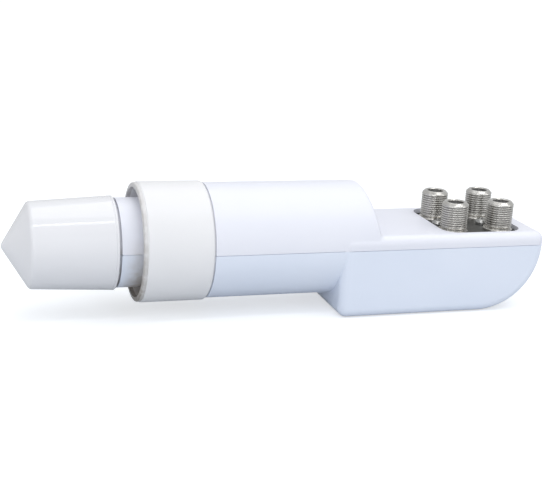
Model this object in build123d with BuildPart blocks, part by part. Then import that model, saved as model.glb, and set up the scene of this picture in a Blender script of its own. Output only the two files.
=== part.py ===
"""Satellite LNB with four outputs: a capped feed, a 40 mm clamp collar and a two-part weather shell."""

import math
import os

from build123d import *

os.makedirs("parts", exist_ok=True)

# The X axis is the feed axis, from nose to tail. Z is up. The origin is the middle of the clamp collar.
# All sizes are millimetres.

# Fits
clearance = 0.05  # between pieces that slide or plug together
screw_clearance = 0.3  # radial room round a screw that passes through
cut_past = 1.0  # how far a cut runs past the face that it opens

# Clamp collar
seat_diameter = 40.0
seat_length = 22.0
collar_wall = 1.8
collar_recess = 10.0  # depth of the open front
collar_rib_count = 12
collar_rib = 1.2
collar_rib_setback = 1.6
collar_round = 0.8
collar_reveal = 0.5  # shadow gap between the collar's wall and the tube
collar_reveal_depth = 0.8
lip_length = 1.4  # ahead of the seat
lip_drop = 0.25  # below the seat
lip_round = 0.6
seat_edge_round = 0.3

# Two-part weather shell
shell_wall = 2.0
tube_step = 0.6  # tube below the collar's seat, on each side
neck_diameter = 29.6
neck_bore = 24.0
neck_length = 6.1  # bare neck between cap and collar
spigot_length = 11.5
reveal_height = 0.25  # shadow line along the parting plane
reveal_depth = 0.35

# Rear box, below and above the parting plane
tube_length = 43.9  # from the collar to the box
box_length = 75.4
box_flare = 0.3  # box wider than the tube, on each side
box_depth = 23.6
box_end_upright = 0.6  # straight wall above the rounded tail
box_round = 3.0
lid_height = 4.6
lid_round = 3.0
slope_lead = 10.7  # from the box front to the crest of the tube's steep tail
slope_run = 3.0
slope_round = 1.6
slope_blend = 2.0

# Connector deck
deck_overhang = 1.4  # deck opening behind the chassis
deck_side_margin = 3.4  # from the deck opening to the box side
deck_length = 29.8
deck_corner = 5.5
deck_sink = 1.8  # deck top below the lid top
deck_thickness = 4.3
deck_flange_drop = 1.2  # flange under the seal, below the deck top
seal_width = 0.7
seal_proud = 0.2

# Cast body
guide_bore = 17.5
guide_wall = 1.7
guide_end_setback = 1.2  # closed end of the guide ahead of the tail's crest
guide_end_wall = 1.2
horn_setback = 3.5  # mouth of the guide behind the cap's shoulder
horn_ring_width = 5.5
horn_ring_setback = 0.5
seat_ring_width = 4.0
chassis_room = 0.5  # between the chassis and the shell walls
chassis_tail_room = 0.4  # to the rounded tail
chassis_step = 0.6  # chassis top below the deck flange
chassis_round = 2.0
pocket_end_wall = 1.2
ledge_side = 0.5
ledge_front = 0.6
ledge_back = 0.5
board_gap = 0.35  # between the guide and the board
board_depth = 1.8  # board ledge above the chassis bottom

# Board and what stands on it
board_thickness = 1.0
chip_size = 5.0
chip_height = 1.2
chip_corner = 0.4
converter_setbacks = (5.0, 13.0)  # behind the guide's closed end
switch_setback = 2.0  # ahead of the deck's middle
crystal_length = 5.0
crystal_width = 3.2
crystal_height = 1.4
crystal_corner = 0.8
crystal_setback = 9.0
crystal_offset = 8.0
probe_diameter = 1.0
probe_hole = 2.0
probe_bend = 1.2
upright_probe_setback = 4.2  # ahead of the guide's closed end
side_probe_setback = 3.6
side_probe_room = 0.3  # round the side probe's leg
side_probe_drop = 2.8  # below the feed axis
probe_reach = 4.0  # distance from the feed axis to each probe's tip

# Shield cover under the board
gasket_thickness = 0.6
cover_thickness = 2.0
cover_rim = 1.5
cover_gap = 0.2
cover_screw_inset = 3.6
cover_screw_diameter = 1.6
cover_screw_head = 3.4
cover_screw_head_height = 1.3
cover_screw_grip = 6.0

# Screws through the deck into the lower shell
deck_screw_front = 4.4  # from the front of the deck opening
deck_screw_back = 8.0  # from its back
deck_screw_diameter = 2.8
deck_screw_head = 4.8
deck_screw_head_height = 1.9
deck_screw_head_edge = 0.9  # height of the head's straight edge
deck_screw_crown = 3.4  # flat top of the head
deck_screw_recess = 1.0
deck_screw_cross = 2.6  # span of the cross recess
deck_screw_slot = 0.6
deck_pillar_wall = 1.5
deck_screw_grip = 3.4  # length held in the boss
boss_wall = 2.0

# F connectors
port_end_room = 0.2  # from a port's flange to the seal, along the deck
port_pitch_y = 16.6
port_thread_diameter = 9.4
port_height = 10.8
port_flange_width = 0.5
port_flange_height = 1.0
port_chamfer = 0.9
port_mouth_lead = 0.2
port_bore = 5.6
port_shank_diameter = 8.0
insulator_sink = 0.9
contact_diameter = 2.2
contact_pin_diameter = 1.0
contact_pin_room = 0.5
contact_hole_diameter = 1.2
contact_hole_lead = 0.6
contact_sink = 1.0  # insulator cover over the contact's mouth
contact_bore_depth = 6.0

# Feed cap and dielectric lens
cap_gap = 0.8  # shadow gap between the cap and the neck's step
cap_skirt = 27.2
cap_nose = 8.4
cap_rim_diameter = 31.0
cap_shoulder_diameter = 28.3
cap_tip_round = 2.0
cap_edge_round = 1.0
cap_wall = 1.7
seal_section = 1.5
seal_groove_width = 2.0
lens_flange = 2.0
lens_room = 1.9  # between the lens and the tip of the cap
lens_nose_diameter = 3.0
lens_plug = 10.0
lens_taper = 5.0
lens_tail_diameter = 6.0

# Places worked out from the sizes above
seat_radius = seat_diameter / 2
collar_front = -seat_length / 2
collar_back = seat_length / 2
tube_radius = seat_radius - tube_step
tube_inner = tube_radius - shell_wall
neck_radius = neck_diameter / 2
lip_front = collar_front - lip_length
neck_front = lip_front - neck_length
bore_radius = neck_bore / 2
cap_rim = neck_front - cap_gap
cap_shoulder = cap_rim - cap_skirt
cap_tip = cap_shoulder - cap_nose
spigot_radius = cap_rim_diameter / 2 - cap_wall - clearance
spigot_front = neck_front - spigot_length
horn_radius = cap_shoulder_diameter / 2 - cap_wall - clearance
box_front = collar_back + tube_length
box_end = box_front + box_length
box_mid = box_front + box_length / 2
box_half = tube_radius + box_flare
box_width = 2 * box_half
tail_radius = box_depth - box_end_upright
floor_top = -box_depth + shell_wall
lid_under = lid_height - shell_wall
slope_top = box_front + slope_lead
slope_foot = slope_top + slope_run
slope_ratio = slope_run / (tube_radius - lid_height)
deck_top = lid_height - deck_sink
deck_under = deck_top - deck_thickness
flange_top = deck_top - deck_flange_drop
guide_radius = guide_bore / 2
guide_outer = guide_radius + guide_wall
guide_front = cap_shoulder + horn_setback
guide_back = slope_top - guide_end_setback
board_top = -guide_outer - board_gap
board_under = board_top - board_thickness
chassis_bottom = board_top - board_depth
chassis_top = flange_top - chassis_step
gasket_under = chassis_bottom - gasket_thickness
cover_under = gasket_under - cover_thickness
tail_centre = box_end - tail_radius
tail_reach = math.sqrt((tail_radius - shell_wall) ** 2 - (cover_under + box_end_upright) ** 2)
chassis_front = box_front + shell_wall + chassis_room
chassis_back = tail_centre + tail_reach - chassis_tail_room
chassis_width = box_width - 2 * (shell_wall + chassis_room)
pocket_front = chassis_front + pocket_end_wall
pocket_back = chassis_back - pocket_end_wall
upright_probe_x = guide_back - upright_probe_setback
side_probe_x = guide_back - side_probe_setback
cover_screw_ends = (chassis_front + cover_screw_inset, chassis_back - cover_screw_inset)
cover_screw_xs = (cover_screw_ends[0], sum(cover_screw_ends) / 2, cover_screw_ends[1])
deck_centre = chassis_back + deck_overhang - deck_length / 2
deck_width = box_width - 2 * deck_side_margin
deck_front = deck_centre - deck_length / 2
deck_back = deck_centre + deck_length / 2
deck_screw_xs = (deck_front + deck_screw_front, deck_back - deck_screw_back)
port_flange = port_thread_diameter / 2 + port_flange_width
port_pitch_x = deck_length - 2 * (seal_width + port_end_room + port_flange)
side_probe_y = -guide_outer - side_probe_room - probe_diameter / 2
probe_side = probe_diameter / 2 + side_probe_room - side_probe_y
pin_side = port_pitch_y / 2 + contact_pin_diameter / 2 + contact_pin_room
room_width = 2 * max(probe_side, pin_side)
pocket_width = room_width + 2 * ledge_side
cover_screw_y = (chassis_width + pocket_width) / 4
port_places = [
    (deck_centre + side_x * port_pitch_x / 2, side_y * port_pitch_y / 2)
    for side_x in (-1, 1)
    for side_y in (-1, 1)
]


def turned(stations):
    """A solid turned about the feed axis from (x, radius) stations."""
    with BuildPart() as form:
        with BuildSketch(Plane.XZ):
            with BuildLine():
                Polyline((stations[0][0], 0), *stations, (stations[-1][0], 0), close=True)
            make_face()
        revolve(axis=Axis.X)
    return form.part


def turned_upright(place, outline):
    """A solid turned about an upright line at place from a closed outline of (radius, height) points."""
    upright_plane = Plane(origin=(*place, 0), x_dir=(1, 0, 0), z_dir=(0, -1, 0))
    with BuildPart() as form:
        with BuildSketch(upright_plane):
            with BuildLine():
                Polyline(*outline, close=True)
            make_face()
        revolve(axis=Axis((*place, 0), (0, 0, 1)))
    return form.part


def block(x_range, width, z_range, corner=0.0):
    """A block over x_range and z_range, centred on the feed's upright plane, with rounded upright corners."""
    low_x, high_x = x_range
    with BuildPart() as form:
        with BuildSketch(Plane.XY.offset(z_range[0])):
            with Locations(((low_x + high_x) / 2, 0)):
                if corner:
                    RectangleRounded(high_x - low_x, width, corner)
                else:
                    Rectangle(high_x - low_x, width)
        extrude(amount=z_range[1] - z_range[0])
    return form.part


def deck_block(inset, z_range):
    """A block with the connector deck's rounded outline, drawn in by inset."""
    ends = (deck_front + inset, deck_back - inset)
    return block(ends, deck_width - 2 * inset, z_range, deck_corner - inset)


def tail_wedge(offset_in):
    """What lies behind the tube's steep tail, moved inwards by offset_in."""
    shift = offset_in * math.hypot(1, slope_ratio)
    reach = 2 * tube_radius
    with BuildPart() as form:
        with BuildSketch(Plane.XZ):
            with BuildLine():
                Polyline(
                    (slope_top - shift - slope_ratio * reach, tube_radius + reach),
                    (slope_foot - shift + slope_ratio * (lid_height + cut_past), -cut_past),
                    (box_end + reach, -cut_past),
                    (box_end + reach, tube_radius + reach),
                    close=True,
                )
            make_face()
        extrude(amount=reach, both=True)
    return form.part


def tail_profile(wall):
    """The rear box below the parting plane, drawn in by wall: a flat floor that rises in a quarter round."""
    radius = tail_radius - wall
    end = box_end - wall
    floor = -box_depth + wall
    with BuildPart() as form:
        with BuildSketch(Plane.XZ):
            with BuildLine():
                Polyline((box_front + wall, floor), (box_front + wall, 0), (end, 0), (end, floor + radius))
                CenterArc((end - radius, floor + radius), radius, 0, -90)
                Line((end - radius, floor), (box_front + wall, floor))
            make_face()
        extrude(amount=box_half - wall, both=True)
    return form.part


# Outer and inner stations of the neck and tube that both shells share
barrel_outer = [
    (spigot_front, spigot_radius),
    (neck_front, spigot_radius),
    (neck_front, neck_radius),
    (collar_back, neck_radius),
    (collar_back, tube_radius),
]
barrel_inner = [
    (spigot_front - cut_past, bore_radius),
    (collar_back + shell_wall, bore_radius),
    (collar_back + shell_wall, tube_inner),
]

# Cavity under the tube and lid of the upper shell
with BuildPart() as upper_cavity:
    add(turned([*barrel_inner, (box_end, tube_inner)]))
    split(bisect_by=Plane.XY, keep=Keep.TOP)
    add(tail_wedge(shell_wall), mode=Mode.SUBTRACT)
    add(block((box_front + shell_wall, box_end - shell_wall), box_width - 2 * shell_wall, (0, lid_under)))

# Flat lid of the rear box, rounded along its top edge
with BuildPart() as lid_form:
    add(block((box_front, box_end), box_width, (0, lid_height), box_round))
    fillet(lid_form.faces().sort_by(Axis.Z)[-1].edges(), lid_round)

# Strip along the foot of the upper shell that leaves a shadow line at the parting plane
with BuildPart() as reveal_strip:
    with BuildSketch():
        with Locations((box_mid, 0)):
            Rectangle(4 * box_length, 2 * box_width)
        with BuildSketch(mode=Mode.PRIVATE) as inside:
            for start, stop, width in (
                (spigot_front - cut_past, neck_front + reveal_depth, 2 * spigot_radius),
                (neck_front + reveal_depth, collar_back + reveal_depth, neck_diameter),
                (collar_back + reveal_depth, box_front + box_round, 2 * tube_radius),
                (box_front + reveal_depth, box_end - reveal_depth, box_width),
            ):
                with Locations(((start + stop) / 2, 0)):
                    Rectangle(stop - start, width - 2 * reveal_depth)
        add(inside.sketch, mode=Mode.SUBTRACT)
    extrude(amount=reveal_height)

# Upper shell: half tube with a steep tail, and the lid with the connector opening
with BuildPart() as upper_shell:
    add(turned([*barrel_outer, (box_end, tube_radius)]))
    split(bisect_by=Plane.XY, keep=Keep.TOP)
    add(tail_wedge(0), mode=Mode.SUBTRACT)
    fillet(upper_shell.edges().filter_by(GeomType.ELLIPSE), slope_round)
    add(lid_form.part)
    foot_edges = upper_shell.edges().filter_by(Axis.Y)
    fillet(foot_edges.sort_by_distance((slope_foot, 0, lid_height))[0], slope_blend)
    add(upper_cavity.part, mode=Mode.SUBTRACT)
    add(deck_block(0, (0, lid_height + cut_past)), mode=Mode.SUBTRACT)
    add(reveal_strip.part, mode=Mode.SUBTRACT)

# Deep rear box of the lower shell, with every outer edge below the parting plane rounded
with BuildPart() as lower_box:
    add(tail_profile(0))
    fillet([edge for edge in lower_box.edges() if edge.center().Z < -box_end_upright / 4], box_round)

# Bosses that take the deck screws, rooted halfway into the box floor
with BuildPart() as screw_bosses:
    with BuildSketch(Plane.XY.offset(-box_depth)):
        with Locations(*[(x, 0) for x in deck_screw_xs]):
            Circle(deck_screw_diameter / 2 + boss_wall)
    extrude(amount=cover_under + box_depth)
    add(tail_profile(shell_wall / 2), mode=Mode.INTERSECT)

# Lower shell: half tube, deep box and the two bosses that take the deck screws
with BuildPart() as lower_shell:
    add(turned([*barrel_outer, (box_front + box_round, tube_radius)]))
    split(bisect_by=Plane.XY, keep=Keep.BOTTOM)
    add(lower_box.part)
    with BuildPart(mode=Mode.PRIVATE) as lower_cavity:
        add(turned([*barrel_inner, (box_front + 2 * shell_wall, tube_inner)]))
        split(bisect_by=Plane.XY, keep=Keep.BOTTOM)
        add(tail_profile(shell_wall))
    add(lower_cavity.part, mode=Mode.SUBTRACT)
    add(screw_bosses.part)
    with BuildSketch(Plane.XY.offset(cover_under)):
        with Locations(*[(x, 0) for x in deck_screw_xs]):
            Circle(deck_screw_diameter / 2 + clearance)
    extrude(amount=-deck_screw_grip - screw_clearance, mode=Mode.SUBTRACT)

# Clamp collar: a sleeve on the neck with a lip, open at the front between ribs
with BuildPart() as mount_collar:
    with BuildSketch(Plane.YZ.offset(collar_front)):
        Circle(seat_radius)
    extrude(amount=seat_length - collar_reveal)
    seat_edges = mount_collar.edges().filter_by(GeomType.CIRCLE).sort_by(Axis.X)
    fillet(seat_edges[0], seat_edge_round)
    fillet(mount_collar.edges().filter_by(GeomType.CIRCLE).sort_by(Axis.X)[-1], collar_round)
    with BuildSketch(Plane.YZ.offset(lip_front)):
        Circle(seat_radius - lip_drop)
    extrude(amount=lip_length + collar_round)
    fillet(mount_collar.edges().filter_by(GeomType.CIRCLE).sort_by(Axis.X)[0], lip_round)
    with BuildSketch(Plane.YZ.offset(lip_front)):
        Circle(seat_radius - collar_wall)
    extrude(amount=lip_length + collar_recess, mode=Mode.SUBTRACT)
    with BuildSketch(Plane.YZ.offset(collar_front + collar_rib_setback)):
        with PolarLocations((seat_radius - collar_wall + neck_radius) / 2, collar_rib_count):
            Rectangle(seat_radius - neck_radius, collar_rib)
    extrude(amount=collar_recess)
    with BuildSketch(Plane.YZ.offset(collar_back - collar_reveal)):
        Circle(tube_radius - collar_reveal_depth)
    extrude(amount=collar_reveal)
    with BuildSketch(Plane.YZ.offset(lip_front)):
        Circle(neck_radius + clearance)
    extrude(amount=lip_length + seat_length, mode=Mode.SUBTRACT)

# Cast body: round wave guide with its seat rings, and the chassis with the connector deck
with BuildPart() as cast_body:
    add(block((chassis_front, chassis_back), chassis_width, (chassis_bottom, chassis_top), chassis_round))
    add(deck_block(clearance, (deck_under, flange_top)))
    add(deck_block(seal_width, (flange_top, deck_top)))
    add(block((pocket_front, pocket_back), pocket_width, (chassis_bottom, board_top)), mode=Mode.SUBTRACT)
    upper_room = (pocket_front + ledge_front, pocket_back - ledge_back)
    add(block(upper_room, room_width, (board_top, deck_under)), mode=Mode.SUBTRACT)
    groove_front = guide_front + horn_ring_setback + (horn_ring_width - seal_groove_width) / 2
    groove_radius = horn_radius - seal_section + clearance
    add(
        turned(
            [
                (guide_front, guide_outer),
                (guide_front + horn_ring_setback, guide_outer),
                (guide_front + horn_ring_setback, horn_radius),
                (groove_front, horn_radius),
                (groove_front, groove_radius),
                (groove_front + seal_groove_width, groove_radius),
                (groove_front + seal_groove_width, horn_radius),
                (guide_front + horn_ring_setback + horn_ring_width, horn_radius),
                (guide_front + horn_ring_setback + horn_ring_width, guide_outer),
                (guide_back, guide_outer),
            ]
        )
    )
    for ring_start in (spigot_front, collar_back - seat_ring_width):
        ring_radius = bore_radius - clearance
        add(turned([(ring_start, ring_radius), (ring_start + seat_ring_width, ring_radius)]))
    with BuildSketch(Plane.XY.offset(board_top)):
        with Locations(*[(x, 0) for x in deck_screw_xs]):
            Circle(deck_screw_diameter / 2 + screw_clearance + deck_pillar_wall)
    extrude(amount=deck_under - board_top)
    guide_ends = (guide_front - cut_past, guide_back - guide_end_wall)
    add(turned([(x, guide_radius) for x in guide_ends]), mode=Mode.SUBTRACT)
    with BuildSketch(Plane.XY.offset(board_top)):
        with Locations(*[(x, 0) for x in deck_screw_xs]):
            Circle(deck_screw_diameter / 2 + screw_clearance)
    extrude(amount=deck_top - board_top, mode=Mode.SUBTRACT)
    with BuildSketch(Plane.XY.offset(deck_under)):
        with Locations(*port_places):
            Circle(port_shank_diameter / 2 + clearance)
    extrude(amount=deck_thickness, mode=Mode.SUBTRACT)
    with BuildSketch(Plane.XY.offset(chassis_bottom)):
        with Locations(*[(x, side * cover_screw_y) for x in cover_screw_xs for side in (-1, 1)]):
            Circle(cover_screw_diameter / 2 + clearance)
    extrude(amount=cover_screw_grip, mode=Mode.SUBTRACT)
    with BuildSketch(Plane.XY.offset(-guide_outer - cut_past)):
        with Locations((upright_probe_x, 0)):
            Circle(probe_hole / 2)
    extrude(amount=guide_outer, mode=Mode.SUBTRACT)
    with BuildSketch(Plane.XZ):
        with Locations((side_probe_x, -side_probe_drop)):
            Circle(probe_hole / 2)
    extrude(amount=guide_outer, mode=Mode.SUBTRACT)

# Rubber seal round the connector deck, flush with the lid opening
with BuildPart() as deck_seal:
    add(deck_block(clearance, (flange_top, deck_top + seal_proud)))
    add(deck_block(seal_width, (flange_top, deck_top + seal_proud)), mode=Mode.SUBTRACT)

# Long screws through the deck, with a cross recess in each head
with BuildPart() as deck_screws:
    screw_radius = deck_screw_diameter / 2
    head_radius = deck_screw_head / 2
    head_top = deck_top + deck_screw_head_height
    for screw_x in deck_screw_xs:
        add(
            turned_upright(
                (screw_x, 0),
                [
                    (0, cover_under - deck_screw_grip),
                    (screw_radius, cover_under - deck_screw_grip + screw_radius),
                    (screw_radius, deck_top),
                    (head_radius, deck_top),
                    (head_radius, deck_top + deck_screw_head_edge),
                    (deck_screw_crown / 2, head_top),
                    (0, head_top),
                ],
            )
        )
    with BuildSketch(Plane.XY.offset(head_top - deck_screw_recess)):
        with Locations(*[(x, 0) for x in deck_screw_xs]):
            Rectangle(deck_screw_cross, deck_screw_slot)
            Rectangle(deck_screw_slot, deck_screw_cross)
    extrude(amount=deck_screw_recess, mode=Mode.SUBTRACT)

# Circuit board under the deck, with holes for the deck screws
with BuildPart() as circuit_board:
    board_ends = (pocket_front + clearance, pocket_back - clearance)
    add(block(board_ends, pocket_width - 2 * clearance, (board_under, board_top)))
    with BuildSketch(Plane.XY.offset(board_under)):
        with Locations(*[(x, 0) for x in deck_screw_xs]):
            Circle(deck_screw_diameter / 2 + screw_clearance)
    extrude(amount=board_thickness, mode=Mode.SUBTRACT)

with BuildPart() as converter_chips:
    with BuildSketch(Plane.XY.offset(board_top)):
        chip_xs = [guide_back + setback for setback in converter_setbacks]
        with Locations(*[(x, 0) for x in [*chip_xs, deck_centre - switch_setback]]):
            RectangleRounded(chip_size, chip_size, chip_corner)
    extrude(amount=chip_height)

with BuildPart() as crystal_can:
    with BuildSketch(Plane.XY.offset(board_top)):
        with Locations((guide_back + crystal_setback, crystal_offset)):
            RectangleRounded(crystal_length, crystal_width, crystal_corner)
    extrude(amount=crystal_height)

# Probes that pick the two polarisations out of the wave guide
with BuildPart() as upright_probe:
    with BuildSketch(Plane.XY.offset(board_top)):
        with Locations((upright_probe_x, 0)):
            Circle(probe_diameter / 2)
    extrude(amount=-probe_reach - board_top)

with BuildPart() as side_probe:
    with BuildLine():
        FilletPolyline(
            (side_probe_x, side_probe_y, board_top),
            (side_probe_x, side_probe_y, -side_probe_drop),
            (side_probe_x, -probe_reach, -side_probe_drop),
            radius=probe_bend,
        )
    with BuildSketch(Plane.XY.offset(board_top)):
        with Locations((side_probe_x, side_probe_y)):
            Circle(probe_diameter / 2)
    sweep()

# Seal frame and shield cover that close the chassis from below
with BuildPart() as cover_gasket:
    add(block((chassis_front, chassis_back), chassis_width, (gasket_under, chassis_bottom), chassis_round))
    add(block((pocket_front, pocket_back), pocket_width, (gasket_under, chassis_bottom)), mode=Mode.SUBTRACT)
    with BuildSketch(Plane.XY.offset(gasket_under)):
        with Locations(*[(x, side * cover_screw_y) for x in cover_screw_xs for side in (-1, 1)]):
            Circle(cover_screw_diameter / 2 + screw_clearance)
    extrude(amount=gasket_thickness, mode=Mode.SUBTRACT)

with BuildPart() as shield_cover:
    add(block((chassis_front, chassis_back), chassis_width, (cover_under, gasket_under), chassis_round))
    rim_ends = (pocket_front + cover_gap, pocket_back - cover_gap)
    rim_width = pocket_width - 2 * cover_gap
    add(block(rim_ends, rim_width, (gasket_under, board_under)))
    inner_ends = (rim_ends[0] + cover_rim, rim_ends[1] - cover_rim)
    add(block(inner_ends, rim_width - 2 * cover_rim, (gasket_under, board_under)), mode=Mode.SUBTRACT)
    with BuildSketch(Plane.XY.offset(cover_under)):
        with Locations(*[(x, side * cover_screw_y) for x in cover_screw_xs for side in (-1, 1)]):
            Circle(cover_screw_diameter / 2 + screw_clearance)
        with Locations(*[(x, 0) for x in deck_screw_xs]):
            Circle(deck_screw_diameter / 2 + screw_clearance)
    extrude(amount=board_under - cover_under, mode=Mode.SUBTRACT)

with BuildPart() as cover_screws:
    for screw_x in cover_screw_xs:
        for side in (-1, 1):
            add(
                turned_upright(
                    (screw_x, side * cover_screw_y),
                    [
                        (0, cover_under - cover_screw_head_height),
                        (cover_screw_head / 2, cover_under - cover_screw_head_height),
                        (cover_screw_head / 2, cover_under),
                        (cover_screw_diameter / 2, cover_under),
                        (cover_screw_diameter / 2, chassis_bottom + cover_screw_grip - cover_screw_diameter),
                        (0, chassis_bottom + cover_screw_grip - cover_screw_diameter / 2),
                    ],
                )
            )

# Feed cap: a tapered skirt with a blunt conical nose
cone_slope = math.atan2(cap_shoulder_diameter / 2, cap_shoulder - cap_tip)
tip_apex = cap_tip - cap_tip_round * (1 / math.sin(cone_slope) - 1)
tip_tangent = cap_tip_round / math.tan(cone_slope)
tip_end = (tip_apex + tip_tangent * math.cos(cone_slope), tip_tangent * math.sin(cone_slope))
tip_middle_angle = (math.pi / 2 - cone_slope) / 2
tip_centre = cap_tip + cap_tip_round
tip_middle = (
    tip_centre - cap_tip_round * math.cos(tip_middle_angle),
    cap_tip_round * math.sin(tip_middle_angle),
)
inner_shoulder = cap_shoulder + cap_wall / 2
inner_tip = cap_tip + cap_wall / math.sin(cone_slope)
with BuildPart() as nose_cap:
    with BuildSketch(Plane.XZ):
        with BuildLine():
            ThreePointArc((cap_tip, 0), tip_middle, tip_end)
            Polyline(
                tip_end,
                (cap_shoulder, cap_shoulder_diameter / 2),
                (cap_rim, cap_rim_diameter / 2),
                (cap_rim, 0),
                (cap_tip, 0),
            )
        make_face()
    revolve(axis=Axis.X)
    shoulder_span = (cap_shoulder - clearance, cap_shoulder + clearance)
    fillet(nose_cap.edges().filter_by_position(Axis.X, *shoulder_span), cap_edge_round)
    add(
        turned(
            [
                (inner_tip, clearance),
                (inner_shoulder, horn_radius + clearance),
                (spigot_front - clearance, horn_radius + clearance),
                (spigot_front - clearance, spigot_radius + clearance),
                (cap_rim, spigot_radius + clearance),
            ]
        ),
        mode=Mode.SUBTRACT,
    )

# O-ring between the feed horn and the cap
with BuildPart() as cap_seal_ring:
    ring_section = seal_section / 2 - clearance / 2
    ring_middle = groove_front + seal_groove_width / 2
    ring_radius = groove_radius + seal_section / 2
    with BuildSketch(Plane.XZ):
        with Locations((ring_middle, ring_radius)):
            Circle(ring_section)
    revolve(axis=Axis.X)

# Dielectric lens plugged into the mouth of the wave guide
lens_radius = guide_outer - clearance
plug_radius = guide_radius - clearance
feed_lens = turned(
    [
        (inner_tip + lens_room, lens_nose_diameter / 2),
        (guide_front - lens_flange, lens_radius),
        (guide_front, lens_radius),
        (guide_front, plug_radius),
        (guide_front + lens_plug, plug_radius),
        (guide_front + lens_plug + lens_taper, lens_tail_diameter / 2),
    ]
)


def f_connector(place):
    """Threaded barrel with a flange on the deck and a shank through it, bored for the insulator."""
    barrel = port_thread_diameter / 2
    top = deck_top + port_height
    bore = port_bore / 2
    return turned_upright(
        place,
        [
            (bore, deck_under + clearance),
            (port_shank_diameter / 2, deck_under + clearance),
            (port_shank_diameter / 2, deck_top),
            (port_flange, deck_top),
            (port_flange, deck_top + port_flange_height),
            (barrel, deck_top + port_flange_height),
            (barrel, top - port_chamfer),
            (barrel - port_chamfer, top),
            (bore + port_mouth_lead, top),
            (bore, top - port_mouth_lead),
        ],
    )


def connector_insulator(place):
    """Plug inside the barrel with a small entry hole over the contact."""
    top = deck_top + port_height - insulator_sink
    entry = contact_hole_diameter / 2
    return turned_upright(
        place,
        [
            (contact_diameter / 2 + clearance, deck_under + clearance),
            (port_bore / 2 - clearance, deck_under + clearance),
            (port_bore / 2 - clearance, top),
            (entry + contact_hole_lead, top),
            (entry, top - contact_hole_lead),
            (entry, top - contact_sink),
            (contact_diameter / 2 + clearance, top - contact_sink),
        ],
    )


def centre_contact(place):
    """Tubular contact in the insulator with a solder pin down to the board."""
    top = deck_top + port_height - insulator_sink - contact_sink - clearance
    bore = contact_hole_diameter / 2
    return turned_upright(
        place,
        [
            (0, board_top),
            (contact_pin_diameter / 2, board_top),
            (contact_pin_diameter / 2, deck_under),
            (contact_diameter / 2, deck_under),
            (contact_diameter / 2, top),
            (bore, top),
            (bore, top - contact_bore_depth),
            (0, top - contact_bore_depth - bore),
        ],
    )


pieces = {
    "upper_shell": upper_shell.part,
    "lower_shell": lower_shell.part,
    "mount_collar": mount_collar.part,
    "cast_body": cast_body.part,
    "deck_seal": deck_seal.part,
    "deck_screws": deck_screws.part,
    "circuit_board": circuit_board.part,
    "converter_chips": converter_chips.part,
    "crystal_can": crystal_can.part,
    "upright_probe": upright_probe.part,
    "side_probe": side_probe.part,
    "cover_gasket": cover_gasket.part,
    "shield_cover": shield_cover.part,
    "cover_screws": cover_screws.part,
    "nose_cap": nose_cap.part,
    "cap_seal_ring": cap_seal_ring.part,
    "feed_lens": feed_lens,
}
for number, place in enumerate(port_places, 1):
    pieces[f"f_connector_{number}"] = f_connector(place)
    pieces[f"connector_insulator_{number}"] = connector_insulator(place)
    pieces[f"centre_contact_{number}"] = centre_contact(place)

for name, piece in pieces.items():
    piece.label = name
    export_step(piece, f"parts/{name}.step")
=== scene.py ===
"""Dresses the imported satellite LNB: outputs, feed cap, deck screws, finishes, soft light and camera."""

import bmesh
import bpy
import numpy as np
from mathutils import Matrix, Vector


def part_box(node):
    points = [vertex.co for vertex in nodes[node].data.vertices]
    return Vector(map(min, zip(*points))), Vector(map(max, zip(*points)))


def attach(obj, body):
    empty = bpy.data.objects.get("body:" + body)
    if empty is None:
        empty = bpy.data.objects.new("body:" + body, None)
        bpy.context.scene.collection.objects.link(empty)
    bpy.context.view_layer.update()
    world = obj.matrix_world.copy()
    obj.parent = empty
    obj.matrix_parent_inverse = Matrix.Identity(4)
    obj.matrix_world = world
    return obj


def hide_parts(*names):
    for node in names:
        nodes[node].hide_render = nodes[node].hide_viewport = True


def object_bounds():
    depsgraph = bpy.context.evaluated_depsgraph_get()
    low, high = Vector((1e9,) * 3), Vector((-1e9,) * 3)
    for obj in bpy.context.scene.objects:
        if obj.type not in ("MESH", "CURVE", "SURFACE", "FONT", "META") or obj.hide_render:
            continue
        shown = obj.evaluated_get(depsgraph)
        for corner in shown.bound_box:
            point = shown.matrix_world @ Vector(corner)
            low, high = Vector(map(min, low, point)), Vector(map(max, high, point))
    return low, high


MM = 0.001
MERGE_DISTANCE = 1e-7  # in metres, joins the points of a pole
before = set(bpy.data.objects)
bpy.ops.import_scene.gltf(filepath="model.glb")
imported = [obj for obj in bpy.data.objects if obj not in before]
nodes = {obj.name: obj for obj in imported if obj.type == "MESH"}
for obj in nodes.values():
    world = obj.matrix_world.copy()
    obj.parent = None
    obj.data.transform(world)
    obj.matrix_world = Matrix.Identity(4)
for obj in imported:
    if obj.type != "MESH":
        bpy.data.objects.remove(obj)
cad_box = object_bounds()
OUTPUTS = range(1, 5)


def node_box(name):
    """Lowest and highest corner of a CAD node, in millimetres."""
    return [np.array(corner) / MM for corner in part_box(name)]


# Grids


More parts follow.
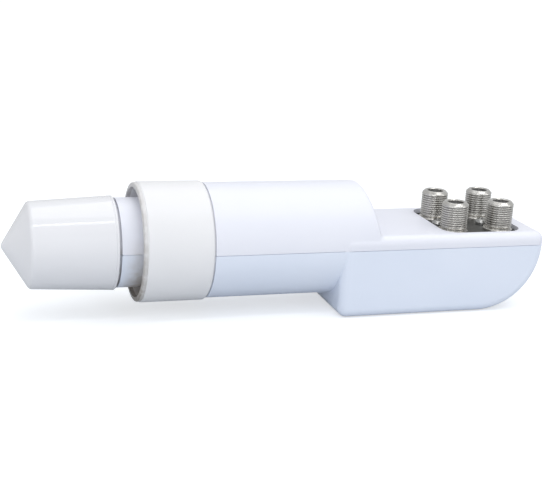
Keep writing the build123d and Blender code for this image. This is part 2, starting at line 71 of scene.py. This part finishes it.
def rounded(profile, steps):
    """A polyline of (radius, height, round) rows with its inner corners rounded, as (radius, height) rows.

    A corner is cut back on both sides by round / tan(half angle), and an arc about the point where the two
    inner parallels meet joins the cuts.
    """
    profile = np.asarray(profile, float)
    points = profile[:, :2]
    out = [points[:1]]
    for before, corner, after, radius in zip(points[:-2], points[1:-1], points[2:], profile[1:-1, 2]):
        if radius <= 0:
            out.append(corner[None])
            continue
        into = (before - corner) / np.linalg.norm(before - corner)
        away = (after - corner) / np.linalg.norm(after - corner)
        half = np.arccos(np.clip(into @ away, -1, 1)) / 2
        cut = radius / np.tan(half)
        centre = corner + (into + away) / np.linalg.norm(into + away) * radius / np.sin(half)
        start = corner + into * cut - centre
        end = corner + away * cut - centre
        share = np.linspace(0, 1, steps + 1)[:, None]
        sweep = np.arccos(np.clip(start @ end / radius**2, -1, 1))
        arc = np.sin((1 - share) * sweep) * start + np.sin(share * sweep) * end
        out.append(centre + arc / np.sin(sweep))
    out.append(points[-1:])
    return np.vstack(out)


def resampled(line, spacing):
    """The same polyline with extra points, so that no step is longer than spacing."""
    lengths = np.linalg.norm(np.diff(line, axis=0), axis=1)
    counts = np.maximum(1, np.ceil(lengths / spacing).astype(int))
    along = np.concatenate([np.arange(n) / n + i for i, n in enumerate(counts)] + [[len(line) - 1]])
    rows = np.arange(len(line))
    return np.stack([np.interp(along, rows, line[:, k]) for k in (0, 1)], axis=1)


def turned_grid(profile, segments, axis, centre, shape=None):
    """Grid of a turned form: centre + radius cos(angle) e1 + radius sin(angle) e2 + height axis.

    Rows are the (radius, height) points of the profile and columns are angles. shape may change both at
    each point.
    """
    angle = np.linspace(0, 2 * np.pi, segments, endpoint=False)[None]
    radius = np.repeat(profile[:, :1], segments, axis=1)
    height = np.repeat(profile[:, 1:], segments, axis=1)
    if shape:
        radius, height = shape(radius, height, angle)
    across = radius * np.cos(angle)
    up = radius * np.sin(angle)
    order = {"x": (height, across, up), "z": (across, up, height)}[axis]
    return np.stack(order, axis=-1) + np.asarray(centre, float)


def grid_quads(rows, columns, loop):
    """Corner numbers of the quads of a grid whose columns wrap round; its rows wrap too in a loop."""
    i = np.arange(rows if loop else rows - 1)[:, None]
    j = np.arange(columns)[None]
    corners = (
        i * columns + j,
        i * columns + (j + 1) % columns,
        (i + 1) % rows * columns + (j + 1) % columns,
        (i + 1) % rows * columns + j,
    )
    return np.stack(np.broadcast_arrays(*corners), axis=-1).reshape(-1, 4)


def grid_piece(name, grids, loop, stands_for, material, attributes=None):
    """One smooth mesh over grids in millimetres. A row that lies in one point is merged into a pole."""
    quads = []
    offset = 0
    for grid in grids:
        quads.append(grid_quads(*grid.shape[:2], loop) + offset)
        offset += grid.shape[0] * grid.shape[1]
    points = np.concatenate([grid.reshape(-1, 3) for grid in grids]) * MM
    mesh = bpy.data.meshes.new(name)
    mesh.from_pydata(points.tolist(), [], np.concatenate(quads).tolist())
    for label, values in (attributes or {}).items():
        layer = mesh.attributes.new(label, "FLOAT", "POINT")
        layer.data.foreach_set("value", np.asarray(values, np.float32).ravel())
    work = bmesh.new()
    work.from_mesh(mesh)
    bmesh.ops.remove_doubles(work, verts=work.verts, dist=MERGE_DISTANCE)
    bmesh.ops.recalc_face_normals(work, faces=work.faces)
    work.to_mesh(mesh)
    work.free()
    mesh.polygons.foreach_set("use_smooth", np.ones(len(mesh.polygons), bool))
    piece = bpy.data.objects.new(name, mesh)
    bpy.context.scene.collection.objects.link(piece)
    mesh.materials.append(material)
    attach(piece, "root")
    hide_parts(*stands_for)


# Finishes
GRAIN_DETAIL = 3.0
DRIFT_SCALE = 28.0
DRIFT_DETAIL = 2.0
DRIFT_LOW, DRIFT_HIGH = 0.3, 0.7  # noise values that become drift 0 and 1
# Grime mixed with painted shade about the collar's open front, darker towards the bottom
GRIME_AND_SHADE_SCALE = 420.0
GRIME_AND_SHADE_DETAIL = 4.0
GRIME_AND_SHADE_LOW, GRIME_AND_SHADE_HIGH = 0.25, 0.6  # noise values with the weakest and with full grime and painted shade
GRIME_AND_SHADE_WEAKEST = 0.5
SHADE_FADE_TOP = 6 * MM  # height where the painted shade, which darkens the lower side, is down to its strength at the top
SHADE_FULL_BOTTOM = -14 * MM  # height where the grime and painted shade are full
# Tones of grime mixed with painted shade; the dark one also paints the shadow in the gap behind the cap
DARK_GRIME_AND_SHADE = (0.30, 0.27, 0.235)
BROWN_GRIME_AND_SHADE = (0.42, 0.375, 0.33)
PALE_GRIME_AND_SHADE = (0.68, 0.63, 0.585)


def new_node(tree, kind, values=None, **settings):
    """A new node of a tree with its settings, and with values for the inputs of those names."""
    node = tree.nodes.new(kind)
    for label, setting in settings.items():
        setattr(node, label, setting)
    for label, value in (values or {}).items():
        node.inputs[label].default_value = value
    return node


def new_group(name, inputs, outputs):
    """An empty shader node group with float sockets of those names."""
    group = bpy.data.node_groups.new(name, "ShaderNodeTree")
    for in_out, labels in (("INPUT", inputs), ("OUTPUT", outputs)):
        for label in labels:
            group.interface.new_socket(label, in_out=in_out, socket_type="NodeSocketFloat")
    return group, new_node(group, "NodeGroupInput"), new_node(group, "NodeGroupOutput")


def moulding_grain():
    """Fine grain height, and a slow drift of tone from 0 to 1, of a moulded or cast surface."""
    inputs = ("Grain Scale", "Drift Scale")
    group, given, result = new_group("moulding grain", inputs, ("Height", "Drift"))
    place = new_node(group, "ShaderNodeTexCoord")
    grain = new_node(group, "ShaderNodeTexNoise", {"Detail": GRAIN_DETAIL})
    drift = new_node(group, "ShaderNodeTexNoise", {"Detail": DRIFT_DETAIL})
    spread = new_node(group, "ShaderNodeMapRange", {"From Min": DRIFT_LOW, "From Max": DRIFT_HIGH})
    link = group.links.new
    link(place.outputs["Object"], grain.inputs["Vector"])
    link(place.outputs["Object"], drift.inputs["Vector"])
    link(given.outputs["Grain Scale"], grain.inputs["Scale"])
    link(given.outputs["Drift Scale"], drift.inputs["Scale"])
    link(drift.outputs["Fac"], spread.inputs["Value"])
    link(grain.outputs["Fac"], result.inputs["Height"])
    link(spread.outputs["Result"], result.inputs["Drift"])
    return group


def recess_grime_and_shade():
    """Mask from 0 to 1 of the grime and painted shade about the collar's open front.

    It is full within Inner Radius of the feed axis and gone at Outer Radius, it comes in along the axis
    between Start and Full and stops at End. It falls from full at the bottom to At Top, which paints shade on
    the lower side, and noise breaks it up.
    """
    inputs = ("Inner Radius", "Outer Radius", "Start", "Full", "End", "At Top")
    group, given, result = new_group("recess grime and shade", inputs, ("Mask",))
    place = new_node(group, "ShaderNodeTexCoord")
    axes = new_node(group, "ShaderNodeSeparateXYZ")
    flat = new_node(group, "ShaderNodeCombineXYZ")
    radius = new_node(group, "ShaderNodeVectorMath", operation="LENGTH")
    inside = new_node(group, "ShaderNodeMapRange", interpolation_type="SMOOTHSTEP")
    behind = new_node(group, "ShaderNodeMapRange", interpolation_type="SMOOTHSTEP")
    patches = new_node(group, "ShaderNodeTexNoise", {"Scale": GRIME_AND_SHADE_SCALE, "Detail": GRIME_AND_SHADE_DETAIL})
    patch_range = {"From Min": GRIME_AND_SHADE_LOW, "From Max": GRIME_AND_SHADE_HIGH, "To Min": GRIME_AND_SHADE_WEAKEST}
    broken = new_node(group, "ShaderNodeMapRange", patch_range)
    # painted shade: the mask grows from At Top at the top to full at the bottom, where the lower side lies in
    # shade
    lower_shade = new_node(group, "ShaderNodeMapRange", {"From Min": SHADE_FADE_TOP, "From Max": SHADE_FULL_BOTTOM})
    ahead = new_node(group, "ShaderNodeMath", operation="LESS_THAN")
    link = group.links.new
    link(place.outputs["Object"], axes.inputs["Vector"])
    link(place.outputs["Object"], patches.inputs["Vector"])
    link(axes.outputs["Y"], flat.inputs["Y"])
    link(axes.outputs["Z"], flat.inputs["Z"])
    link(flat.outputs["Vector"], radius.inputs[0])
    link(radius.outputs["Value"], inside.inputs["Value"])
    link(given.outputs["Outer Radius"], inside.inputs["From Min"])
    link(given.outputs["Inner Radius"], inside.inputs["From Max"])
    link(axes.outputs["X"], behind.inputs["Value"])
    link(given.outputs["Start"], behind.inputs["From Min"])
    link(given.outputs["Full"], behind.inputs["From Max"])
    link(axes.outputs["X"], ahead.inputs[0])
    link(given.outputs["End"], ahead.inputs[1])
    link(patches.outputs["Fac"], broken.inputs["Value"])
    link(axes.outputs["Z"], lower_shade.inputs["Value"])
    link(given.outputs["At Top"], lower_shade.inputs["To Min"])
    mask = ahead.outputs["Value"]
    for factor in (inside, behind, broken, lower_shade):
        product = new_node(group, "ShaderNodeMath", operation="MULTIPLY")
        link(mask, product.inputs[0])
        link(factor.outputs["Result"], product.inputs[1])
        mask = product.outputs["Value"]
    link(mask, result.inputs["Mask"])
    return group


GRAIN = moulding_grain()
GRIME_AND_SHADE_GROUP = recess_grime_and_shade()


def grime_and_shade_band(tone, at_top, inner, outer, start, full, end):
    """Tone and group inputs of one band of grime and painted shade, from radii and places on the feed axis in
    millimetres.
    """
    reach = {"Inner Radius": inner, "Outer Radius": outer, "Start": start, "Full": full, "End": end}
    return tone, {"At Top": at_top, **{label: value * MM for label, value in reach.items()}}


def blended(tree, factor, under, over):
    """Colour socket of the tone over laid on the colour socket under, by a factor socket."""
    mix = new_node(tree, "ShaderNodeMix", data_type="RGBA")
    mix.inputs["B"].default_value = (*over, 1)
    tree.links.new(factor, mix.inputs["Factor"])
    tree.links.new(under, mix.inputs["A"])
    return mix.outputs["Result"]


def finish(name, light, dark, rough, grain, depth, metallic=0, drift=DRIFT_SCALE, root_shade=None, grime_and_shade=()):
    """A finish that drifts between two tones and two roughnesses, with a fine grain bump.

    grain and drift are noise scales, and depth is the grain's height in millimetres. root_shade is a darker
    tone, painted shade in the piece's "root" attribute, as in the roots of a thread. grime_and_shade lists
    bands of grime and painted shade.
    """
    material = bpy.data.materials.new(name)
    material.use_nodes = True
    tree = material.node_tree
    link = tree.links.new
    shader = tree.nodes["Principled BSDF"]
    shader.inputs["Metallic"].default_value = metallic
    scales = {"Grain Scale": grain, "Drift Scale": drift}
    surface = new_node(tree, "ShaderNodeGroup", scales, node_tree=GRAIN)
    tone = new_node(tree, "ShaderNodeMix", data_type="RGBA")
    tone.inputs["A"].default_value = (*dark, 1)
    tone.inputs["B"].default_value = (*light, 1)
    link(surface.outputs["Drift"], tone.inputs["Factor"])
    colour = tone.outputs["Result"]
    # the darker tone paints shade into the thread roots
    if root_shade:
        root = new_node(tree, "ShaderNodeAttribute", attribute_name="root")
        colour = blended(tree, root.outputs["Fac"], colour, root_shade)
    # bands of grime and painted shade
    for band_tone, reach in grime_and_shade:
        band = new_node(tree, "ShaderNodeGroup", reach, node_tree=GRIME_AND_SHADE_GROUP)
        colour = blended(tree, band.outputs["Mask"], colour, band_tone)
    link(colour, shader.inputs["Base Color"])
    gloss = new_node(tree, "ShaderNodeMapRange", {"To Min": rough[0], "To Max": rough[1]})
    link(surface.outputs["Drift"], gloss.inputs["Value"])
    link(gloss.outputs["Result"], shader.inputs["Roughness"])
    bump = new_node(tree, "ShaderNodeBump", {"Strength": 1.0, "Distance": depth * MM})
    link(surface.outputs["Height"], bump.inputs["Height"])
    link(bump.outputs["Normal"], shader.inputs["Normal"])
    return material


# Bands of grime and painted shade: the cap gap band is painted shadow in the gap behind the cap, the others
# are grime with painted shade, darker towards the bottom
neck_grime_and_shade = grime_and_shade_band(BROWN_GRIME_AND_SHADE, at_top=0.0, inner=14.9, outer=15.3, start=-19.0, full=-12.6, end=0)
cap_gap_shade = grime_and_shade_band(DARK_GRIME_AND_SHADE, at_top=0.3, inner=14.1, outer=14.5, start=-19.9, full=-19.6, end=-18.3)
recess_wall_grime_and_shade = grime_and_shade_band(PALE_GRIME_AND_SHADE, at_top=0.05, inner=18.3, outer=18.9, start=-14, full=-13, end=0)
lip_grime_and_shade = grime_and_shade_band(DARK_GRIME_AND_SHADE, at_top=0.45, inner=19.55, outer=20.1, start=-13, full=-12.6, end=-11.1)
shell_surface = {"rough": (0.34, 0.42), "grain": 1400, "depth": 0.010, "grime_and_shade": (neck_grime_and_shade, cap_gap_shade)}

upper_white = finish(
    "upper shell white", light=(0.80, 0.813, 0.885), dark=(0.775, 0.79, 0.868), **shell_surface
)
lower_white = finish(
    "lower shell white", light=(0.76, 0.812, 0.92), dark=(0.73, 0.787, 0.90), **shell_surface
)
collar_white = finish(
    "collar white", light=(0.815, 0.815, 0.832), dark=(0.79, 0.79, 0.808),
    rough=(0.36, 0.44), grain=1200, depth=0.012, grime_and_shade=(recess_wall_grime_and_shade, lip_grime_and_shade),
)
cap_white = finish(
    "cap white", light=(0.80, 0.803, 0.832), dark=(0.775, 0.778, 0.808),
    rough=(0.08, 0.13), grain=1500, depth=0.002,
)
cast_metal = finish(
    "cast metal", light=(0.185, 0.185, 0.18), dark=(0.115, 0.115, 0.11),
    rough=(0.42, 0.58), grain=900, depth=0.03, metallic=1, drift=90,
)
# nickel with painted shade darkening its thread roots
nickel = finish(
    "nickel plate", light=(0.71, 0.695, 0.665), dark=(0.61, 0.595, 0.565),
    rough=(0.20, 0.30), grain=2200, depth=0.002, metallic=1, drift=160, root_shade=(0.27, 0.26, 0.245),
)
contact_brass = finish(
    "contact brass", light=(0.80, 0.62, 0.28), dark=(0.70, 0.53, 0.22),
    rough=(0.24, 0.34), grain=2000, depth=0.004, metallic=1,
)
socket_dark = finish(
    "socket plastic", light=(0.035, 0.035, 0.038), dark=(0.02, 0.02, 0.022),
    rough=(0.45, 0.6), grain=1800, depth=0.006,
)
seal_rubber = finish(
    "seal rubber", light=(0.03, 0.03, 0.03), dark=(0.018, 0.018, 0.018),
    rough=(0.7, 0.85), grain=1600, depth=0.02,
)
screw_zinc = finish(
    "screw zinc", light=(0.52, 0.52, 0.51), dark=(0.40, 0.40, 0.39),
    rough=(0.24, 0.36), grain=2000, depth=0.004, metallic=1, drift=200,
)
board_green = finish(
    "board green", light=(0.06, 0.27, 0.12), dark=(0.04, 0.21, 0.09),
    rough=(0.3, 0.42), grain=800, depth=0.01,
)
chip_black = finish(
    "chip black", light=(0.03, 0.03, 0.03), dark=(0.02, 0.02, 0.02),
    rough=(0.5, 0.6), grain=2000, depth=0.01,
)
lens_white = finish(
    "lens plastic", light=(0.84, 0.84, 0.80), dark=(0.80, 0.80, 0.76),
    rough=(0.35, 0.45), grain=1200, depth=0.01,
)

node_finish = {
    "upper_shell": upper_white,
    "lower_shell": lower_white,
    "mount_collar": collar_white,
    "nose_cap": cap_white,
    "cast_body": cast_metal,
    "shield_cover": cast_metal,
    "deck_seal": seal_rubber,
    "cover_gasket": seal_rubber,
    "cap_seal_ring": seal_rubber,
    "deck_screws": screw_zinc,
    "cover_screws": screw_zinc,
    "circuit_board": board_green,
    "converter_chips": chip_black,
    "crystal_can": screw_zinc,
    "upright_probe": contact_brass,
    "side_probe": contact_brass,
    "feed_lens": lens_white,
}
for number in OUTPUTS:
    node_finish[f"f_connector_{number}"] = nickel
    node_finish[f"connector_insulator_{number}"] = socket_dark
    node_finish[f"centre_contact_{number}"] = contact_brass
for name, material in node_finish.items():
    nodes[name].data.materials.clear()
    nodes[name].data.materials.append(material)


# Threaded outputs, in millimetres
OUTPUT_HEIGHT = 10.8
FLANGE_RADIUS = 5.2
FLANGE_HEIGHT = 1.0
FLANGE_FOOT_ROUND = 0.1
FLANGE_TOP_ROUND = 0.25
NECK_CUT = 0.5
NECK_FOOT_ROUND = 0.08
NECK_TOP_ROUND = 0.1
BARREL_RADIUS = 4.7
BARREL_CHAMFER = 0.9
CHAMFER_ROUND = 0.12
SHANK_RADIUS = 4.0
MOUTH_RADIUS = 2.8
MOUTH_LEAD = 0.25
MOUTH_EDGE_ROUND = 0.1
MOUTH_LEAD_ROUND = 0.08
LOOP_GAP = 0.01  # between the profile's last point and its first
THREAD_PITCH = 0.79
THREAD_DEPTH = 0.38
THREAD_FADE = 0.5
THREAD_LEAD_IN = 0.1  # starts that far below the barrel
THREAD_RUN_OUT = 0.15  # ends that far into the chamfer
THREAD_CLEAR = 0.15  # cuts only what stands that far proud of the neck
THREAD_CREST = 0.75  # height of the cosine, so that crest and root are flat
# strength of the painted shade in the thread roots
ROOT_SHADE = 0.85
OUTPUT_SEGMENTS = 96
OUTPUT_ARC_STEPS = 4
OUTPUT_SPACING = 0.08


def threaded_output(number):
    """Output barrel turned from one closed profile, cut with a single-start thread.

    Thread: radius = barrel - depth * fade * (1 - crest), where crest is a cosine of the turn
    2 pi height / pitch - angle, flattened at its top and bottom, and fade runs the thread out at both ends.
    """
    low, high = node_box(f"f_connector_{number}")
    centre = (low + high) / 2
    bottom, top = low[2], high[2]
    deck = top - OUTPUT_HEIGHT
    flange_top = deck + FLANGE_HEIGHT
    neck_radius = BARREL_RADIUS - NECK_CUT
    barrel_foot = flange_top + 2 * NECK_CUT
    profile = [
        (MOUTH_RADIUS, bottom, 0),
        (SHANK_RADIUS, bottom, 0),
        (SHANK_RADIUS, deck, 0),
        (FLANGE_RADIUS, deck, FLANGE_FOOT_ROUND),
        (FLANGE_RADIUS, flange_top, FLANGE_TOP_ROUND),
        (neck_radius, flange_top, NECK_FOOT_ROUND),
        (neck_radius, flange_top + NECK_CUT, NECK_TOP_ROUND),
        (BARREL_RADIUS, barrel_foot, NECK_TOP_ROUND),
        (BARREL_RADIUS, top - BARREL_CHAMFER, CHAMFER_ROUND),
        (BARREL_RADIUS - BARREL_CHAMFER, top, CHAMFER_ROUND),
        (MOUTH_RADIUS + MOUTH_LEAD, top, MOUTH_EDGE_ROUND),
        (MOUTH_RADIUS, top - MOUTH_LEAD, MOUTH_LEAD_ROUND),
        (MOUTH_RADIUS, bottom + LOOP_GAP, 0),
    ]
    line = resampled(rounded(profile, OUTPUT_ARC_STEPS), OUTPUT_SPACING)
    start = barrel_foot - THREAD_LEAD_IN
    stop = top - BARREL_CHAMFER + THREAD_RUN_OUT

    def thread(radius, height, angle):
        fade = np.clip((height - start) / THREAD_FADE, 0, 1) * np.clip((stop - height) / THREAD_FADE, 0, 1)
        fade = fade * (radius > neck_radius + THREAD_CLEAR)
        crest = np.clip(0.5 + THREAD_CREST * np.cos(2 * np.pi * height / THREAD_PITCH - angle), 0, 1)
        return radius - THREAD_DEPTH * fade * (1 - crest), height

    grid = turned_grid(line, OUTPUT_SEGMENTS, "z", (centre[0], centre[1], 0), thread)
    cut = line[:, :1] - np.linalg.norm(grid[..., :2] - centre[:2], axis=-1)
    # painted shade in the thread roots, deeper where the thread cuts deeper
    root = ROOT_SHADE * np.clip(cut / THREAD_DEPTH, 0, 1) ** 2
    stands_for = [f"f_connector_{number}"]
    grid_piece(f"output_{number}", [grid], True, stands_for, nickel, {"root": root})


# Feed cap, in millimetres
CAP_NOSE = 8.4
CAP_SHOULDER_RADIUS = 14.15
CAP_SHOULDER_ROUND = 1.6
CAP_RIM_RADIUS = 15.5
CAP_RIM_ROUND = 0.35
CAP_TIP_ROUND = 2.0
CAP_TIP_ROWS = 14
CAP_BORE_RADIUS = 13.8
CAP_STEP = 24.85  # from the tip to the step in the bore
CAP_STEP_ROUND = 0.2
CAP_INNER_RADIUS = 12.45
CAP_INNER_SHOULDER = 9.25
CAP_INNER_ROUND = 0.6
CAP_INNER_TIP = 2.0
RIM_BEAD = 0.9  # length of the raised bead at the rim
RIM_GROOVE = 0.22
GROOVE_EDGE_ROUND = 0.1
GROOVE_FLOOR_ROUND = 0.08
SKIRT_DROP = 0.04  # end of the skirt below the bead
CAP_SEGMENTS = 144
CAP_ARC_STEPS = 10
BORE_ARC_STEPS = 4
CAP_SPACING = 1.2


def feed_cap():
    """Feed cap turned from a closed profile: rounded tip, cone, tapered skirt, beaded rim and the bore.

    The tip is an arc of CAP_TIP_ROUND that meets the cone at a tangent, so it turns by 90 degrees less the
    cone's half angle. A shallow groove sets the bead off from the skirt.
    """
    low, high = node_box("nose_cap")
    tip, rim = low[0], high[0]
    half_angle = np.arctan2(CAP_SHOULDER_RADIUS, CAP_NOSE)
    turn = np.linspace(0, np.pi / 2 - half_angle, CAP_TIP_ROWS)[:, None]
    arc = np.hstack([CAP_TIP_ROUND * np.sin(turn), tip + CAP_TIP_ROUND * (1 - np.cos(turn))])
    groove = rim - RIM_BEAD
    outer = [
        (*arc[-1], 0),
        (CAP_SHOULDER_RADIUS, tip + CAP_NOSE, CAP_SHOULDER_ROUND),
        (CAP_RIM_RADIUS - SKIRT_DROP, groove - RIM_GROOVE, GROOVE_EDGE_ROUND),
        (CAP_RIM_RADIUS - RIM_GROOVE, groove, GROOVE_FLOOR_ROUND),
        (CAP_RIM_RADIUS, groove + RIM_GROOVE, GROOVE_EDGE_ROUND),
        (CAP_RIM_RADIUS, rim, CAP_RIM_ROUND),
        (CAP_BORE_RADIUS, rim, 0),
    ]
    inner = [
        (CAP_BORE_RADIUS, rim, 0),
        (CAP_BORE_RADIUS, tip + CAP_STEP, CAP_STEP_ROUND),
        (CAP_INNER_RADIUS, tip + CAP_STEP, CAP_STEP_ROUND),
        (CAP_INNER_RADIUS, tip + CAP_INNER_SHOULDER, CAP_INNER_ROUND),
        (0, tip + CAP_INNER_TIP, 0),
    ]
    outside = rounded(outer, CAP_ARC_STEPS)
    inside = rounded(inner, BORE_ARC_STEPS)
    line = resampled(np.vstack([arc, outside[1:], inside[1:]]), CAP_SPACING)
    grid = turned_grid(line, CAP_SEGMENTS, "x", (0, 0, 0))
    grid_piece("feed_cap", [grid], False, ["nose_cap"], cap_white)


# Deck screws, in millimetres
SCREW_HEAD_RADIUS = 2.4
SCREW_HEAD_HEIGHT = 1.9
SCREW_HEAD_EDGE = 0.9
SCREW_FOOT_ROUND = 0.12
SCREW_EDGE_ROUND = 0.35
SCREW_CROWN_RADIUS = 1.7
SCREW_CROWN_ROUND = 0.5
SCREW_SHANK_RADIUS = 1.4
CROSS_SPAN = 2.6
CROSS_SLOT = 0.6
CROSS_DEPTH = 1.0
CROSS_SOFT = 0.12
SCREW_SEGMENTS = 96
SCREW_ARC_STEPS = 6
SCREW_SPACING = 0.06


def deck_screws():
    """Two pan-head screws: a turned profile whose crown is pressed in by a cross.

    Cross: height falls by depth * max(bar(x, y), bar(y, x)), where bar(u, v) is 1 inside |u| < span / 2 and
    |v| < slot / 2 and fades to 0 over a soft edge.
    """
    low, high = node_box("deck_screws")
    bottom, top = low[2], high[2]
    seat = top - SCREW_HEAD_HEIGHT
    shank = [(0, bottom), (SCREW_SHANK_RADIUS, bottom + SCREW_SHANK_RADIUS)]
    head = [
        (SCREW_SHANK_RADIUS, seat, 0),
        (SCREW_HEAD_RADIUS, seat, SCREW_FOOT_ROUND),
        (SCREW_HEAD_RADIUS, seat + SCREW_HEAD_EDGE, SCREW_EDGE_ROUND),
        (SCREW_CROWN_RADIUS, top, SCREW_CROWN_ROUND),
        (0, top, 0),
    ]
    line = np.vstack([shank, resampled(rounded(head, SCREW_ARC_STEPS), SCREW_SPACING)])

    def bar(along, across):
        ends = np.clip((CROSS_SPAN / 2 - np.abs(along)) / CROSS_SOFT, 0, 1)
        sides = np.clip((CROSS_SLOT / 2 - np.abs(across)) / CROSS_SOFT, 0, 1)
        return ends * sides

    def pressed(radius, height, angle):
        across = radius * np.cos(angle)
        up = radius * np.sin(angle)
        cross = np.maximum(bar(across, up), bar(up, across))
        return radius, height - CROSS_DEPTH * cross * (height > seat + SCREW_HEAD_EDGE)

    places = (low[0] + SCREW_HEAD_RADIUS, high[0] - SCREW_HEAD_RADIUS)
    grids = [turned_grid(line, SCREW_SEGMENTS, "z", (x, 0, 0), pressed) for x in places]
    grid_piece("deck_screw_pair", grids, False, ["deck_screws"], screw_zinc)


for number in OUTPUTS:
    threaded_output(number)
feed_cap()
deck_screws()


# Floor, light and camera, in metres
FLOOR_HALF = 1.0
FLOOR_CENTRE = (0.04, 0.03)
FLOOR_FULL = 0.13  # the floor is solid within that distance of its centre
FLOOR_GONE = 0.32  # and clear past that one
FLOOR_GAP = 0.1 * MM  # below the part
FLOOR_TONE = (0.615, 0.64, 0.67, 1)
FLOOR_ROUGHNESS = 0.9
FLOOR_LIFT = 0.52  # glow that brings the floor near the backdrop's white
TENT_COLOUR = (0.97, 0.985, 1.0, 1)
TENT_STRENGTH = 0.62
BACKDROP_STRENGTH = 1.05
WHITE = (1, 1, 1)
COOL_WHITE = (0.95, 0.97, 1.0)
SOFTBOXES = (  # name, place, target, width, height, watts, colour
    ("overhead", (0.25, 0.2, 0.88), (0.06, 0, 0), 1.0, 0.8, 3.15, WHITE),
    ("strip", (0.0, -0.355, 0.83), (0.0, 0, 0), 1.3, 0.07, 1.4, WHITE),
    ("front fill", (0.3, -1.15, 0.25), (0.04, 0, 0), 1.3, 1.0, 1.85, COOL_WHITE),
    ("near fill", (-0.45, -1.05, 0.36), (-0.01, 0, 0), 0.5, 0.6, 2.0, COOL_WHITE),
    ("side strip", (0.75, -0.36, 0.58), (0.11, 0, 0), 0.16, 0.6, 0.7, WHITE),
    ("left fill", (-1.0, -0.35, 0.65), (-0.02, 0, 0), 0.7, 0.7, 1.45, WHITE),
)
CAMERA_SENSOR = 36.0  # millimetres
CAMERA_LENS = 75.58  # millimetres
CAMERA_PLACE = (-0.08233, -0.35528, 0.10731)
CAMERA_RIGHT = (0.95274, -0.29829, 0.05749)
CAMERA_UP = (0.03304, 0.28987, 0.95650)
CAMERA_AHEAD = (0.30198, 0.90939, -0.28603)


def pale_floor():
    """A square under the part that fades into the backdrop with the distance from its middle."""
    material = bpy.data.materials.new("floor white")
    material.use_nodes = True
    tree = material.node_tree
    link = tree.links.new
    shader = tree.nodes["Principled BSDF"]
    shader.inputs["Base Color"].default_value = FLOOR_TONE
    shader.inputs["Roughness"].default_value = FLOOR_ROUGHNESS
    shader.inputs["Specular IOR Level"].default_value = 0.0
    shader.inputs["Emission Color"].default_value = (*WHITE, 1)
    seen = new_node(tree, "ShaderNodeLightPath")
    lift = new_node(tree, "ShaderNodeMapRange", {"To Max": FLOOR_LIFT})
    link(seen.outputs["Is Camera Ray"], lift.inputs["Value"])
    link(lift.outputs["Result"], shader.inputs["Emission Strength"])
    place = new_node(tree, "ShaderNodeTexCoord")
    distance = new_node(tree, "ShaderNodeVectorMath", operation="DISTANCE")
    distance.inputs[1].default_value = (*FLOOR_CENTRE, cad_box[0].z)
    reach = {"From Min": FLOOR_GONE, "From Max": FLOOR_FULL}
    fade = new_node(tree, "ShaderNodeMapRange", reach, interpolation_type="SMOOTHSTEP")
    link(place.outputs["Object"], distance.inputs[0])
    link(distance.outputs["Value"], fade.inputs["Value"])
    link(fade.outputs["Result"], shader.inputs["Alpha"])
    level = cad_box[0].z - FLOOR_GAP
    corners = [(x * FLOOR_HALF, y * FLOOR_HALF, level) for x, y in ((-1, -1), (1, -1), (1, 1), (-1, 1))]
    mesh = bpy.data.meshes.new("floor")
    mesh.from_pydata(corners, [], [(0, 1, 2, 3)])
    mesh.materials.append(material)
    floor = bpy.data.objects.new("floor", mesh)
    bpy.context.scene.collection.objects.link(floor)


def studio_world():
    """A soft white tent all round, with a plain white backdrop where the camera looks past the floor."""
    world = bpy.data.worlds.new("studio")
    world.use_nodes = True
    tree = world.node_tree
    link = tree.links.new
    tent = tree.nodes["Background"]
    tent.inputs["Color"].default_value = TENT_COLOUR
    tent.inputs["Strength"].default_value = TENT_STRENGTH
    plain = {"Color": (*WHITE, 1), "Strength": BACKDROP_STRENGTH}
    backdrop = new_node(tree, "ShaderNodeBackground", plain)
    seen = new_node(tree, "ShaderNodeLightPath")
    choice = new_node(tree, "ShaderNodeMixShader")
    link(seen.outputs["Is Camera Ray"], choice.inputs["Fac"])
    link(tent.outputs["Background"], choice.inputs[1])
    link(backdrop.outputs["Background"], choice.inputs[2])
    link(choice.outputs["Shader"], tree.nodes["World Output"].inputs["Surface"])
    bpy.context.scene.world = world


def softbox(name, place, target, width, height, power, colour):
    """A rectangular area light that looks at target."""
    light = bpy.data.lights.new(name, "AREA")
    light.shape = "RECTANGLE"
    light.size = width
    light.size_y = height
    light.energy = power
    light.color = colour
    lamp = bpy.data.objects.new(name, light)
    lamp.location = place
    lamp.rotation_euler = (Vector(target) - Vector(place)).to_track_quat("-Z", "Y").to_euler()
    bpy.context.scene.collection.objects.link(lamp)


def photo_camera():
    """Camera fitted to the photograph: its place, and the directions to its right, up and ahead."""
    camera = bpy.data.objects.new("camera", bpy.data.cameras.new("camera"))
    camera.data.sensor_width = CAMERA_SENSOR
    camera.data.lens = CAMERA_LENS
    turn = Matrix((CAMERA_RIGHT, CAMERA_UP, -Vector(CAMERA_AHEAD))).transposed().to_4x4()
    camera.matrix_world = Matrix.Translation(CAMERA_PLACE) @ turn
    bpy.context.scene.collection.objects.link(camera)
    bpy.context.scene.camera = camera


pale_floor()
studio_world()
for row in SOFTBOXES:
    softbox(*row)
photo_camera()
bpy.context.scene.view_settings.view_transform = "Standard"
